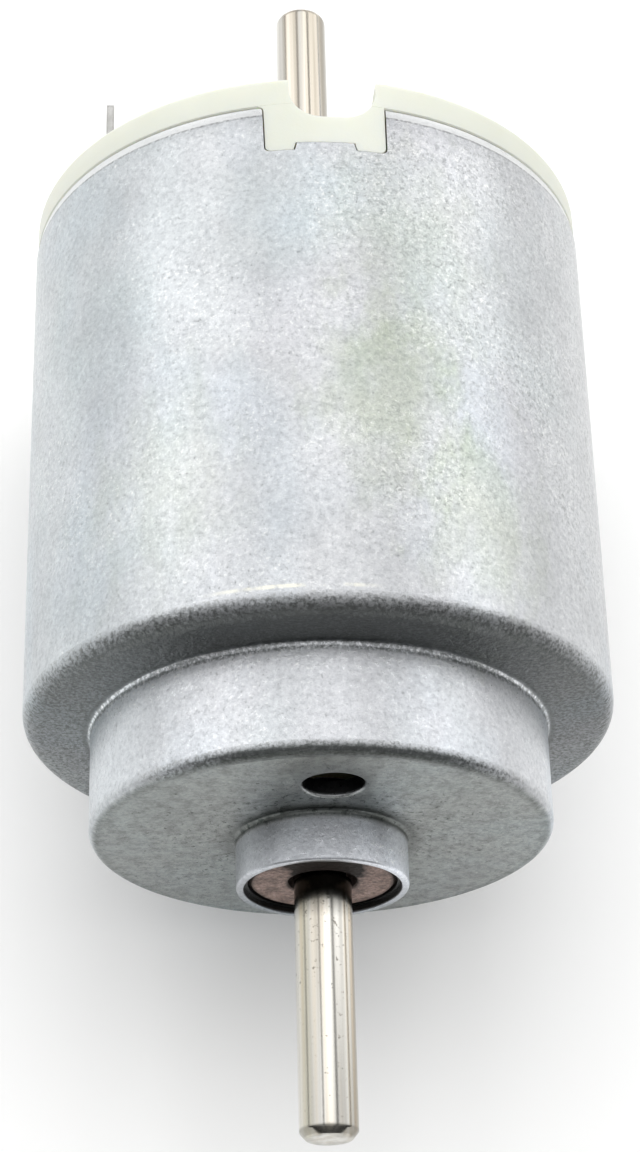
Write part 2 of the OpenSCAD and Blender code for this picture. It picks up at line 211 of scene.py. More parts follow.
def prism(name, outline, low, high, up="Z"):
    """Pushes a flat outline along an axis: X-Y outlines up Z, X-Z ones along Y, and Y-Z ones along X."""
    place = {
        "Z": lambda a, b, h: (a, b, h),
        "Y": lambda a, b, h: (a, h, b),
        "X": lambda a, b, h: (h, a, b),
    }[up]
    bm = bmesh.new()
    bottom = [bm.verts.new(place(a, b, low)) for a, b in outline]
    top = [bm.verts.new(place(a, b, high)) for a, b in outline]
    bm.faces.new(bottom)
    bm.faces.new(top)
    n = len(outline)
    for i in range(n):
        j = (i + 1) % n
        bm.faces.new((bottom[i], bottom[j], top[j], top[i]))
    return finish_mesh(bm, name)


def turned(obj, angle):
    """Turns an object's own mesh about the shaft axis."""
    obj.data.transform(Matrix.Rotation(angle, 4, "Y"))
    return obj


def moved(obj, x=0.0, z=0.0):
    obj.data.transform(Matrix.Translation((x, 0, z)))
    return obj


def carve(obj, tools, how="DIFFERENCE"):
    """Joins or cuts an object with others, which are used up."""
    for tool in tools:
        modifier = obj.modifiers.new("carve", "BOOLEAN")
        modifier.operation = how
        modifier.solver = "EXACT"
        modifier.object = tool
    apply_modifiers(obj)
    for tool in tools:
        bpy.data.objects.remove(tool, do_unlink=True)
    return obj


def apply_modifiers(obj):
    graph = bpy.context.evaluated_depsgraph_get()
    mesh = bpy.data.meshes.new_from_object(obj.evaluated_get(graph))
    obj.modifiers.clear()
    old = obj.data
    obj.data = mesh
    bpy.data.meshes.remove(old)
    clean(obj)
    shade(obj)


def clean(obj):
    """Takes out the slivers that a cut can leave."""
    bm = bmesh.new()
    bm.from_mesh(obj.data)
    bmesh.ops.remove_doubles(bm, verts=bm.verts, dist=SLIVER)
    bmesh.ops.dissolve_degenerate(bm, edges=bm.edges, dist=SLIVER)
    bmesh.ops.triangulate(bm, faces=[face for face in bm.faces if len(face.verts) > 4])
    bm.to_mesh(obj.data)
    bm.free()


def round_edges(obj, width, steps=3):
    """Rounds every edge that turns by more than an angle."""
    modifier = obj.modifiers.new("round", "BEVEL")
    modifier.width = width
    modifier.segments = steps
    modifier.limit_method = "ANGLE"
    modifier.angle_limit = ROUND_ANGLE
    modifier.use_clamp_overlap = False
    modifier.miter_outer = "MITER_ARC"
    apply_modifiers(obj)
    return obj


def settle(obj, material, body, node):
    """Gives a piece its material and its body, and hides the CAD node that it stands for."""
    obj.data.materials.clear()
    obj.data.materials.append(material)
    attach(obj, body)
    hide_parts(node)


# ---------------------------------------------------------------- materials
class Shader:
    """A small helper for building a Principled material out of nodes."""

    def __init__(self, name, **uniform):
        self.material = bpy.data.materials.new(name)
        self.material.use_nodes = True
        self.tree = self.material.node_tree
        self.bsdf = self.tree.nodes["Principled BSDF"]
        for key, value in uniform.items():
            self.bsdf.inputs[key.replace("_", " ")].default_value = value
        coordinates = self.tree.nodes.new("ShaderNodeTexCoord")
        self.where = coordinates.outputs["Object"]

    def node(self, kind, links=None, **settings):
        node = self.tree.nodes.new("ShaderNode" + kind)
        for key, value in settings.items():
            setattr(node, key, value)
        for key, value in (links or {}).items():
            self.plug(value, node.inputs[key])
        return node

    def plug(self, value, socket):
        if isinstance(value, bpy.types.NodeSocket):
            self.tree.links.new(value, socket)
        else:
            socket.default_value = value

    def stretched(self, x=1.0, y=1.0, z=1.0):
        """The object's coordinates, scaled along each axis."""
        return self.node("Mapping", {"Vector": self.where, "Scale": (x, y, z)}).outputs["Vector"]

    def noise(self, size, detail=3.0, rough=0.55, where=None, distortion=0.0):
        """Noise whose features are about size metres across."""
        return self.node("TexNoise", {
            "Vector": where or self.where, "Scale": 1.0 / size, "Detail": detail,
            "Roughness": rough, "Distortion": distortion,
        }).outputs["Fac"]

    def cells(self, size):
        """Distance to the nearest of many scattered points, about size metres apart."""
        return self.node("TexVoronoi", {"Vector": self.where, "Scale": 1.0 / size}).outputs["Distance"]

    def ramp(self, fac, *stops):
        """Colour ramp through (position, colour) stops. A colour may be one grey number."""
        node = self.node("ValToRGB", {"Fac": fac})
        band = node.color_ramp
        while len(band.elements) < len(stops):
            band.elements.new(0.5)
        for element, (position, colour) in zip(band.elements, stops):
            element.position = position
            grey = isinstance(colour, (int, float))
            element.color = (colour, colour, colour, 1) if grey else (*colour, 1)
        return node.outputs["Color"]

    def mix(self, fac, a, b, blend="MIX"):
        node = self.node("Mix", data_type="RGBA", blend_type=blend)
        self.plug(fac, node.inputs[0])
        for value, socket in ((a, node.inputs[6]), (b, node.inputs[7])):
            self.plug((*value, 1) if isinstance(value, tuple) and len(value) == 3 else value, socket)
        return node.outputs[2]

    def multiply(self, a, b):
        return self.mix(1.0, a, b, "MULTIPLY")

    def tint(self, fac, base, colour):
        """Multiplies a base by a colour, as far as fac says."""
        return self.mix(fac, base, self.multiply(base, colour))

    def math(self, operation, a, b=0.0):
        node = self.node("Math", operation=operation)
        self.plug(a, node.inputs[0])
        self.plug(b, node.inputs[1])
        return node.outputs[0]

    def vector(self, operation, a, b=None, output="Value"):
        links = {0: a} if b is None else {0: a, 1: b}
        return self.node("VectorMath", links, operation=operation).outputs[output]

    def span(self, value, low, high, to_low=0.0, to_high=1.0):
        """Maps low..high to to_low..to_high, and holds the ends."""
        return self.node("MapRange", {
            "Value": value, "From Min": low, "From Max": high, "To Min": to_low, "To Max": to_high,
        }).outputs["Result"]

    def along(self, axis):
        split = self.node("SeparateXYZ", {"Vector": self.where})
        return split.outputs[axis]

    def radius(self):
        """Distance from the shaft's axis."""
        return self.vector("LENGTH", self.stretched(1, 0, 1))

    def near(self, value, centre, inner, outer):
        """1 within inner of a value, falling to 0 at outer."""
        off = self.math("ABSOLUTE", self.math("SUBTRACT", value, centre))
        return self.span(off, inner, outer, 1, 0)

    def times(self, *values):
        product = values[0]
        for value in values[1:]:
            product = self.math("MULTIPLY", product, value)
        return product

    def bump(self, height, depth, over=None):
        node = self.node("Bump", {"Height": height, "Distance": depth, "Strength": 1.0})
        if over is not None:
            self.tree.links.new(over, node.inputs["Normal"])
        return node.outputs["Normal"]

    def finish(self, colour, rough=None, normal=None):
        for value, name in ((colour, "Base Color"), (rough, "Roughness"), (normal, "Normal")):
            if value is not None:
                self.plug(value, self.bsdf.inputs[name])
        return self.material


# ---------------------------------------------------------------- the can's galvanised sheet
SPANGLE = ((0.36, (0.465, 0.476, 0.493)), (0.5, (0.56, 0.571, 0.588)), (0.64, (0.63, 0.638, 0.652)))
CLOUD_TINTS = ((5.2, 0.4, (0.88, 0.98, 1.04)),  # size in mm, depth, colour
               (6.3, 0.25, (1.0, 0.95, 1.04)),
               (7.3, 0.4, (0.9, 1.0, 0.98)))
GREEN_SPOTS = ((1.7, 12.0, 3.0, 0.75),  # x, y and reach in mm, depth
               (4.8, 8.2, 2.6, 0.6),
               (-5.8, 9.0, 2.8, 0.35),
               (2.6, 18, 3.2, 0.45))
GREENISH, LEFT_FLANK_SHADE = (0.93, 0.98, 0.82), (0.93, 0.99, 1.0)
PIT_DARK, LINE_DARK = (0.19, 0.2, 0.2), (0.22, 0.23, 0.225)
CREASE_SHADE, EDGE_DARK = (0.16, 0.17, 0.17), (0.2, 0.2, 0.2)
GLINT, SPECK_PALE = (0.86, 0.86, 0.84), (0.84, 0.85, 0.84)
SHOULDER_HIGHLIGHT_COLOUR, RIM_PALE = (0.9, 0.88, 0.76), (0.84, 0.85, 0.85)
BEND_DARK_REFLECTION, BOSS_ROOT_SHADE, SPECKS_AND_SHADE = (0.05, 0.057, 0.053), (0.08, 0.088, 0.083), (0.04, 0.05, 0.045)
HOLE_SHADE, MOUTH_SHADE = (0.04, 0.04, 0.04), (0.03, 0.03, 0.027)
FACE_STAIN_AND_SHADE = ((0.36, (0.31, 0.325, 0.30)), (0.56, (0.54, 0.56, 0.53)))
DRUM_PAINTED_LIGHT, STEP_PAINTED_HIGHLIGHT = (1.14, 1.14, 1.15), (1.4, 1.4, 1.4)
BOSS_LEFT, BOSS_RIGHT_HIGHLIGHT, LIP_SHADE = (0.98, 1.0, 1.03), (1.35, 1.36, 1.4), (0.4, 0.41, 0.41)


def zinc_steel():
    """Galvanised sheet: fine grey spangle, dark pits and pale specks under faint coloured patches."""
    s = Shader("zinc_steel", Metallic=1.0)
    t = SimpleNamespace(
        x=s.along("X"), y=s.along("Y"), z=s.along("Z"), radius=s.radius(),
        grain=s.noise(0.2 * MM, 5, 0.8),
        fleck=s.noise(0.13 * MM, 3, 0.7),
        cloud=s.noise(4.6 * MM, 3, 0.55),
        drawn=s.noise(1.3 * MM, 4, 0.6, where=s.stretched(1, 0.5, 1)),
    )
    t.fillet = s.times(s.span(t.y, SHOULDER_Y - 0.05 * MM, SHOULDER_Y), s.span(t.y, 4.6 * MM, 4.0 * MM))
    t.front_edge = s.times(s.near(t.y, 0.05 * MM, 0.12 * MM, 0.4 * MM),
                           s.near(t.radius, DRUM_R, 0.2 * MM, 0.5 * MM))
    t.bend = s.math("MAXIMUM", t.fillet, t.front_edge)
    base = s.ramp(t.grain, *SPANGLE)
    for layer in (zinc_patches, zinc_pits, zinc_worms, zinc_painted_shade, zinc_face, zinc_drum,
                  zinc_boss, zinc_holes, zinc_rims):
        base = layer(s, t, base)
    return s.finish(base, *zinc_relief(s, t))


def zinc_patches(s, t, base):
    """Faint coloured clouds, four greenish spots on top, and a painted bluish shade on the left flank."""
    for size, depth, tint in CLOUD_TINTS:
        cloud = s.noise(size * MM, 3, 0.55, where=s.stretched(1, 0.6, 1))
        base = s.tint(s.span(cloud, 0.48, 0.68, 0, depth), base, tint)
    on_top = s.span(t.z, 0, 3 * MM)
    for x, y, reach, depth in GREEN_SPOTS:
        spot = s.vector("DISTANCE", s.stretched(1, 0.6, 0), (x * MM, 0.6 * y * MM, 0))
        ragged = s.math("ADD", spot, s.span(t.drawn, 0.3, 0.7, -1.2 * MM, 1.2 * MM))
        patch = s.times(s.span(ragged, 0.2 * reach * MM, reach * MM, depth, 0), on_top)
        base = s.tint(patch, base, GREENISH)
    # painted shade: a bluish, slightly darker tint over the can's left flank
    left = s.times(s.span(t.x, -4 * MM, -8 * MM, 0, 0.6), s.span(t.z, -2 * MM, 2 * MM))
    base = s.tint(left, base, LEFT_FLANK_SHADE)
    for shade_of, low, high in ((t.cloud, 0.94, 1.05), (t.drawn, 0.95, 1.05)):
        base = s.multiply(base, s.ramp(shade_of, (0.35, low), (0.65, high)))
    return base


def zinc_pits(s, t, base):
    pits = s.times(s.span(t.fleck, 0.40, 0.33), s.span(t.grain, 0.62, 0.42))
    return s.mix(s.times(pits, s.span(t.cloud, 0.4, 0.6, 0.35, 0.65)), base, PIT_DARK)


def zinc_worms(s, t, base):
    """Short dark lines and glints on the coarser right half of the can, then pale specks all over."""
    worms = s.noise(0.36 * MM, 2, 0.6, distortion=1.2)
    coarse = s.times(s.span(t.x, -1.5 * MM, 1.5 * MM),
                     s.span(t.y, SHOULDER_Y + 1 * MM, SHOULDER_Y + 4 * MM),
                     s.span(t.cloud, 0.4, 0.55, 0.45, 1))
    lines = s.times(s.near(worms, 0.5, 0.008, 0.034), s.span(t.grain, 0.62, 0.46), coarse)
    base = s.mix(s.times(lines, 0.5), base, LINE_DARK)
    glints = s.times(s.near(worms, 0.42, 0.006, 0.022), s.span(t.grain, 0.42, 0.58), coarse)
    base = s.mix(s.times(glints, 0.6), base, GLINT)
    pale = s.times(s.span(t.fleck, 0.57, 0.68), s.span(t.cloud, 0.42, 0.6, 0.2, 0.8))
    return s.mix(pale, base, SPECK_PALE)


def zinc_painted_shade(s, t, base):
    """Painted dark reflection on the bent shoulder, darkest on top, and on the top of the drum's front edge,
    speckled at its borders; painted shade in the concave step where the drum meets the shoulder and round the
    foot of the boss.
    """
    # painted dark reflection: darkens the shoulder's bend all round, most on top, and the top of the drum's
    # front edge
    painted_band = s.math("MAXIMUM",
                     s.times(t.fillet, s.span(t.z, -5 * MM, 8 * MM, 0.6, 1)),
                     s.times(t.front_edge, s.span(t.z, 4.4 * MM, 7.4 * MM, 0, 1)))
    speckle = s.span(s.math("ADD", t.grain, t.fleck), 0.84, 1.16, -0.4, 0.4)
    broken = s.times(speckle, s.span(painted_band, 0.0, 0.12), s.span(painted_band, 1.0, 0.5, 0.4, 1))
    speckled_band = s.math("ADD", painted_band, broken)
    base = s.mix(s.span(speckled_band, 0.1, 1.0, 0, 0.86), base, BEND_DARK_REFLECTION)
    # painted shade in the concave step where the drum meets the shoulder
    crease_shade = s.times(s.near(t.radius, DRUM_R + 0.12 * MM, 0.12 * MM, 0.2 * MM),
                     s.near(t.y, 3.8 * MM, 0.15 * MM, 0.25 * MM))
    base = s.mix(s.times(crease_shade, s.span(t.fleck, 0.58, 0.45), 0.75), base, CREASE_SHADE)
    # painted shade round the foot of the boss on the front face
    boss_root_shade = s.times(s.near(t.radius, BOSS_R + 0.12 * MM, 0.12 * MM, 0.6 * MM),
                   s.near(t.y, 0.0, 0.14 * MM, 0.3 * MM))
    return s.mix(s.times(boss_root_shade, 0.55), base, BOSS_ROOT_SHADE)


def zinc_face(s, t, base):
    """The front face: a mottled stained tone that also darkens it all over as painted shade, and dark grime
    specks that thicken towards the boss as painted shade.
    """
    face = s.times(s.span(t.y, 0.1 * MM, 0.0), s.span(t.y, -0.25 * MM, -0.12 * MM))
    # mottled tone that also darkens the whole face as painted shade
    stain_and_shade = s.ramp(s.noise(0.55 * MM, 5, 0.75), *FACE_STAIN_AND_SHADE)
    base = s.tint(s.times(face, 0.95), base, stain_and_shade)
    # dark specks, denser towards the boss as painted shade
    inwards = s.span(t.radius, 7 * MM, 3 * MM, 0.03, -0.05)
    specks_and_shade = s.math("ADD", s.noise(0.24 * MM, 3, 0.7), inwards)
    spots = s.times(s.span(specks_and_shade, 0.40, 0.35), face)
    return s.mix(s.times(spots, 0.75), base, SPECKS_AND_SHADE)


def zinc_drum(s, t, base):
    """The front drum, lifted by painted light, and lightest next to the shoulder with a painted highlight."""
    drum = s.times(s.span(t.y, 3.88 * MM, 3.8 * MM), s.span(t.radius, 7.8 * MM, 7.95 * MM),
                   s.span(t.y, 0.2 * MM, 0.5 * MM))
    # painted light over the drum, with a painted highlight next to the shoulder
    base = s.tint(drum, base, DRUM_PAINTED_LIGHT)
    return s.tint(s.times(drum, s.span(t.y, 2.6 * MM, 3.7 * MM)), base, STEP_PAINTED_HIGHLIGHT)


def zinc_boss(s, t, base):
    """The boss, with a painted highlight growing towards its right, and painted shade on its lower lip."""
    # painted highlight: the boss grows lighter from left to right
    side_highlight = s.mix(s.span(t.x, -1.9 * MM, 1.6 * MM), BOSS_LEFT, BOSS_RIGHT_HIGHLIGHT)
    base = s.tint(s.span(t.y, -0.2 * MM, -0.4 * MM), base, side_highlight)
    lip = s.times(s.span(t.y, BOSS_Y + 0.3 * MM, BOSS_Y + 0.1 * MM), s.span(t.z, 1.5 * MM, -1.5 * MM))
    return s.tint(s.times(lip, 0.8), base, LIP_SHADE)


def zinc_holes(s, t, base):
    """Painted shade on the walls of the two fixing holes."""
    across = s.math("SUBTRACT", s.math("ABSOLUTE", t.z), FIXING_PITCH_R)
    off_centre = s.vector("LENGTH", s.node("CombineXYZ", {"X": t.x, "Y": across}).outputs["Vector"])
    # painted shade inside the fixing holes
    inside = s.times(s.span(off_centre, FIXING_R + 0.05 * MM, FIXING_R), s.span(t.y, 0.08 * MM, 0.16 * MM))
    return s.mix(s.times(inside, 0.9), base, HOLE_SHADE)


def zinc_rims(s, t, base):
    """A painted highlight line on the shoulder, the pale cut rim at the back, and painted shade in the mouth
    of the boss.
    """
    # painted highlight: a short pale line at the start of the shoulder's bend
    shoulder_highlight = s.times(s.near(t.y, SHOULDER_Y + 0.84 * MM, 0.03 * MM, 0.09 * MM),
                     s.span(t.drawn, 0.5, 0.6), s.near(t.x, -1.6 * MM, 1.2 * MM, 3 * MM))
    base = s.mix(shoulder_highlight, base, SHOULDER_HIGHLIGHT_COLOUR)
    rim = s.span(t.y, RIM_Y - RIM_BAND, RIM_Y - RIM_BAND * 0.9)
    base = s.mix(s.times(rim, 0.75), base, RIM_PALE)
    edge = s.times(s.near(t.y, RIM_Y - RIM_BAND, 0.02 * MM, 0.07 * MM), s.span(t.fleck, 0.62, 0.42))
    base = s.mix(s.times(edge, 0.7), base, EDGE_DARK)
    # painted shade inside the mouth of the boss
    mouth = s.times(s.span(t.radius, MOUTH_R + 0.03 * MM, MOUTH_R),
                    s.span(t.y, BOSS_Y + 0.02 * MM, BOSS_Y + 0.1 * MM))
    return s.mix(s.times(mouth, 0.95), base, MOUTH_SHADE)


def zinc_relief(s, t):
    """Roughness, and bumps from drawn waves, orange peel on the bends and the spangle itself."""
    rough = s.math("ADD", s.span(t.grain, 0.35, 0.65, 0.38, 0.26), s.times(t.bend, 0.16))
    waves = s.bump(s.noise(2.2 * MM, 2, 0.5), 0.03 * MM)
    peel = s.bump(s.times(s.noise(0.3 * MM, 3, 0.6), t.bend), 0.09 * MM, over=waves)
    normal = s.bump(s.math("ADD", t.grain, s.times(t.fleck, 0.6)), 0.014 * MM, over=peel)
    return rough, normal


# ---------------------------------------------------------------- the other materials
NYLON = ((0.3, (0.68, 0.70, 0.61)), (0.7, (0.74, 0.757, 0.677)))
NYLON_RADIUS = (1.0, 0.85, 0.55)
SHAFT_STREAKS = ((0.34, (0.58, 0.56, 0.515)), (0.5, (0.72, 0.70, 0.65)), (0.62, (0.84, 0.82, 0.77)))
SHAFT_WARM = ((0.42, (1.0, 0.95, 0.88)), (0.58, (1.0, 1.0, 1.0)))
SHAFT_REAR, SHAFT_FRONT_END, SHAFT_NOSE_REFLECTION = (0.86, 0.85, 0.84), (0.36, 0.35, 0.32), (0.2, 0.19, 0.165)
SHAFT_REFLECTION_LINES = ((-0.74, 0.08, 0.24, (0.76, 0.75, 0.68)),  # x, half width and reach in mm, tint
               (0.66, 0.02, 0.09, (0.74, 0.70, 0.64)),
               (0.86, 0.04, 0.1, (0.82, 0.77, 0.71)))
SHAFT_PIT, SHAFT_OIL_AND_SHADE = (0.16, 0.145, 0.12), (0.03, 0.03, 0.024)
BRONZE = ((0.35, (0.16, 0.105, 0.085)), (0.5, (0.30, 0.215, 0.185)), (0.65, (0.46, 0.35, 0.31)))
BRONZE_PORE, BRONZE_OIL_AND_SHADE = (0.08, 0.05, 0.04), (0.02, 0.018, 0.016)
BRASS = ((0.35, (0.40, 0.395, 0.38)), (0.65, (0.55, 0.545, 0.53)))


def ivory_nylon():
    s = Shader("ivory_nylon", Subsurface_Weight=0.35, Subsurface_Scale=0.0008)
    s.bsdf.inputs["Subsurface Radius"].default_value = NYLON_RADIUS
    colour = s.ramp(s.noise(5 * MM, 3, 0.5), *NYLON)
    grain = s.noise(0.12 * MM, 3, 0.6)
    rough = s.span(s.noise(1.2 * MM, 3, 0.6), 0.3, 0.7, 0.36, 0.5)
    return s.finish(colour, rough, s.bump(grain, 0.004 * MM))


def shaft_steel():
    """Ground steel, drawn lengthways, darkened where it leaves the front bush by oily grime and painted
    shade.
    """
    s = Shader("shaft_steel", Metallic=1.0)
    y = s.along("Y")
    streak = s.noise(0.3 * MM, 2, 0.5, where=s.stretched(1, 0.012, 1))
    speck = s.noise(0.2 * MM, 3, 0.65)
    colour = shaft_ends(s, y, shaft_streaks(s, y, streak))
    by_bush = s.span(y, -6 * MM, -2.2 * MM)
    front_only = s.span(y, -1 * MM, -1.5 * MM)
    pitted = s.span(s.math("ADD", speck, s.times(by_bush, 0.07)), 0.65, 0.72, 0, 0.8)
    colour = s.mix(s.times(pitted, front_only), colour, SHAFT_PIT)
    # oily grime with painted shade on the shaft by the front bush and inside the motor
    oil_and_shade = s.times(s.span(y, -3.1 * MM, -2.1 * MM), s.span(y, 20 * MM, 18 * MM))
    colour = s.mix(s.times(oil_and_shade, 0.95), colour, SHAFT_OIL_AND_SHADE)
    rough = s.span(streak, 0.3, 0.7, 0.24, 0.13)
    height = s.math("ADD", streak, s.times(speck, 0.4))
    return s.finish(colour, rough, s.bump(height, 0.003 * MM))


def shaft_streaks(s, y, streak):
    """Long streaks of light, dark and warm metal, with three painted dark reflection lines along the front
    end's top.
    """
    shifted = s.vector("ADD", s.stretched(1, 0.02, 1), (2.3 * MM, 0, 0), output="Vector")
    band = s.noise(0.7 * MM, 1, 0.5, where=shifted)
    warm = s.noise(0.45 * MM, 1, 0.5, where=s.stretched(1.3, 0.015, 1.3))
    colour = s.multiply(s.ramp(streak, *SHAFT_STREAKS), s.ramp(band, (0.4, 0.64), (0.56, 1.06)))
    colour = s.multiply(colour, s.ramp(warm, *SHAFT_WARM))
    colour = s.tint(s.span(y, 20 * MM, 24 * MM), colour, SHAFT_REAR)
    x = s.along("X")
    on_top = s.span(s.along("Z"), -0.2 * MM, 0.2 * MM)
    front_half = s.span(y, 10 * MM, 5 * MM)
    # painted reflection: three dark lines along the top of the front end
    for middle, half, reach, reflection_tint in SHAFT_REFLECTION_LINES:
        line = s.times(s.near(x, middle * MM, half * MM, reach * MM), on_top, front_half)
        colour = s.tint(line, colour, reflection_tint)
    return colour


def shaft_ends(s, y, colour):
    """A matt front end, with a painted dark reflection on the chamfer round it."""
    end = s.span(y, NOSE_Y + 0.06 * MM, NOSE_Y + 0.01 * MM)
    colour = s.mix(s.times(end, 0.5), colour, SHAFT_FRONT_END)
    # painted reflection: the chamfer round the front end is darkened
    nose = s.times(s.span(y, NOSE_Y + 0.03 * MM, NOSE_Y + 0.07 * MM),
                   s.span(y, NOSE_Y + 0.36 * MM, NOSE_Y + 0.28 * MM))
    return s.mix(s.times(nose, 0.6), colour, SHAFT_NOSE_REFLECTION)


def sintered_bronze():
    """Porous bronze, pinkish and dry at its face, darkened round the bore by oily grime and painted shade,
    and at its rim and over the top of its face by painted shade.
    """
    s = Shader("sintered_bronze", Metallic=0.6)
    grain = s.noise(0.14 * MM, 4, 0.75)
    pores = s.cells(0.2 * MM)
    blotch = s.noise(0.5 * MM, 4, 0.7)
    colour = s.multiply(s.ramp(grain, *BRONZE), s.ramp(blotch, (0.38, 0.6), (0.58, 1.1)))
    colour = s.mix(s.span(pores, 0.0, 0.3, 0.6, 0), colour, BRONZE_PORE)
    oil_and_shade = bronze_oil_and_shade(s)
    colour = s.mix(s.times(oil_and_shade, 0.94), colour, BRONZE_OIL_AND_SHADE)
    s.plug(s.span(oil_and_shade, 0.2, 0.9, 0.6, 0), s.bsdf.inputs["Metallic"])
    s.plug(s.span(oil_and_shade, 0.2, 0.9, 0.5, 0.1), s.bsdf.inputs["Specular IOR Level"])
    rough = s.span(grain, 0.3, 0.7, 0.45, 0.7)
    return s.finish(colour, rough, s.bump(s.math("ADD", grain, pores), 0.02 * MM))


def bronze_oil_and_shade(s):
    """Where the bushes are darkened: painted shade as an upright patch over the front bush's face and at each
    rim, and oily grime with painted shade round each bore.
    """
    radius = s.radius()
    # painted shade: an upright patch over the top of the front bush's face
    shade_pool = s.vector("DISTANCE", s.stretched(1, 0, 0.66), (0, 0, 1.05 * MM))
    ragged = s.math("ADD", shade_pool, s.span(s.noise(0.8 * MM, 3, 0.6), 0.3, 0.7, -0.25 * MM, 0.25 * MM))
    front = s.span(s.along("Y"), 2 * MM, 1 * MM, 0.3, 1)
    oil_and_shade = s.math("MAXIMUM", s.times(s.span(ragged, 1.6 * MM, 1.35 * MM), front),
                 s.span(radius, 1.35 * MM, 1.15 * MM))
    # painted shade at the rim of each bush
    return s.math("MAXIMUM", oil_and_shade, s.span(radius, BUSH_R - 0.26 * MM, BUSH_R - 0.1 * MM))


def tinned_brass():
    s = Shader("tinned_brass", Metallic=1.0)
    rolled = s.noise(0.1 * MM, 3, 0.6, where=s.stretched(1, 0.08, 1))
    colour = s.ramp(s.noise(0.8 * MM, 3, 0.6), *BRASS)
    rough = s.span(rolled, 0.3, 0.7, 0.22, 0.38)
    return s.finish(colour, rough, s.bump(rolled, 0.004 * MM))


def plain(name, dark, light, rough=(0.4, 0.6), stretch=(1, 1, 1), **uniform):
    """A simpler finish: two tones of one colour, with its grain in colour, gloss and height."""
    s = Shader(name, **uniform)
    fine = s.noise(0.2 * MM, 3, 0.65, where=s.stretched(*stretch))
    cloud = s.noise(2.4 * MM, 2, 0.5)
    colour = s.ramp(s.math("MULTIPLY", s.math("ADD", fine, cloud), 0.5), (0.38, dark), (0.6, light))
    return s.finish(colour, s.span(fine, 0.3, 0.7, *rough), s.bump(fine, 0.006 * MM))


def make_materials():
    metal = {"Metallic": 1.0}
    rolled = {"Metallic": 1.0, "stretch": (1, 0.1, 1)}
    turned_metal = {"Metallic": 1.0, "stretch": (1, 6, 1)}
    lacquer = {"Metallic": 0.85, "Coat_Weight": 0.6, "Coat_Roughness": 0.12}
    simple = (
        ("ferrite", (0.05, 0.05, 0.055), (0.12, 0.12, 0.13), (0.5, 0.75), {}),
        ("spring_steel", (0.45, 0.45, 0.46), (0.68, 0.68, 0.7), (0.2, 0.35), metal),
        ("phosphor_bronze", (0.62, 0.36, 0.2), (0.82, 0.56, 0.36), (0.2, 0.36), rolled),
        ("carbon", (0.02, 0.02, 0.022), (0.06, 0.06, 0.065), (0.45, 0.7), {}),
        ("washer_plastic", (0.62, 0.6, 0.52), (0.82, 0.8, 0.72), (0.35, 0.5), {}),
        ("spacer_plastic", (0.55, 0.5, 0.32), (0.72, 0.68, 0.48), (0.35, 0.5), {}),
        ("insulator_green", (0.03, 0.14, 0.09), (0.07, 0.26, 0.17), (0.5, 0.7), {}),
        ("silicon_steel", (0.22, 0.23, 0.26), (0.42, 0.44, 0.48), (0.28, 0.45), metal),
        ("enamelled_copper", (0.42, 0.13, 0.04), (0.72, 0.28, 0.10), (0.18, 0.3), lacquer),
        ("phenolic", (0.05, 0.02, 0.012), (0.13, 0.055, 0.03), (0.3, 0.5), {}),
        ("commutator_copper", (0.62, 0.28, 0.16), (0.88, 0.48, 0.32), (0.15, 0.3), turned_metal),
        ("solder", (0.5, 0.5, 0.51), (0.78, 0.78, 0.8), (0.12, 0.25), metal),
    )
    made = {
        "zinc_steel": zinc_steel(),
        "ivory_nylon": ivory_nylon(),
        "shaft_steel": shaft_steel(),
        "sintered_bronze": sintered_bronze(),
        "tinned_brass": tinned_brass(),
    }
    for name, dark, light, rough, others in simple:
        made[name] = plain(name, dark, light, rough, **others)
    return made


# ---------------------------------------------------------------- pieces of the stator
def can_outline():
    inner = CAN_R - WALL
    drum_in = DRUM_R - WALL
    shoulder_in = SHOULDER_Y + WALL
    band_y = RIM_Y - RIM_BAND
    points = [(inner + 0.05 * MM, RIM_Y)]
    points += [(CAN_R - RIM_DROP - RIM_SOFT, RIM_Y), (CAN_R - RIM_DROP, RIM_Y - RIM_SOFT)]
    points += [(CAN_R - RIM_DROP * 0.6, RIM_Y - RIM_BAND * 0.7), (CAN_R, band_y)]
    for i in range(1, SIDE_STEPS):
        points.append((CAN_R, band_y - (band_y - SHOULDER_Y - SHOULDER_FILLET) * i / SIDE_STEPS))
    points += arc((CAN_R - SHOULDER_FILLET, SHOULDER_Y + SHOULDER_FILLET), SHOULDER_FILLET, 0, -90, 14)
    points += arc((DRUM_R + STEP_FILLET, SHOULDER_Y - STEP_FILLET), STEP_FILLET, 90, 180, 6)
    points += arc((DRUM_R - DRUM_FILLET, DRUM_FILLET), DRUM_FILLET, 0, -90, 10)
    points += arc((BOSS_R + BOSS_FILLET, -BOSS_FILLET), BOSS_FILLET, 90, 180, 8)
    points += arc((BOSS_R - LIP_R, BOSS_Y + LIP_R), LIP_R, 0, -90, 6)
    points += arc((MOUTH_R + LIP_R * 0.5, BOSS_Y + LIP_R * 0.5), LIP_R * 0.5, -90, -180, 5)
    points += [(MOUTH_R, BUSH_FACE), (BUSH_R, BUSH_FACE), (BUSH_R, WALL)]
    points += arc((drum_in - DRUM_FILLET, WALL + DRUM_FILLET), DRUM_FILLET, -90, 0, 6)
    points += [(drum_in, shoulder_in)]
    in_fillet = SHOULDER_IN_FILLET
    points += arc((inner - in_fillet, shoulder_in + in_fillet), in_fillet, -90, 0, 6)
    points += [(inner, RIM_Y - 0.05 * MM)]
    return points


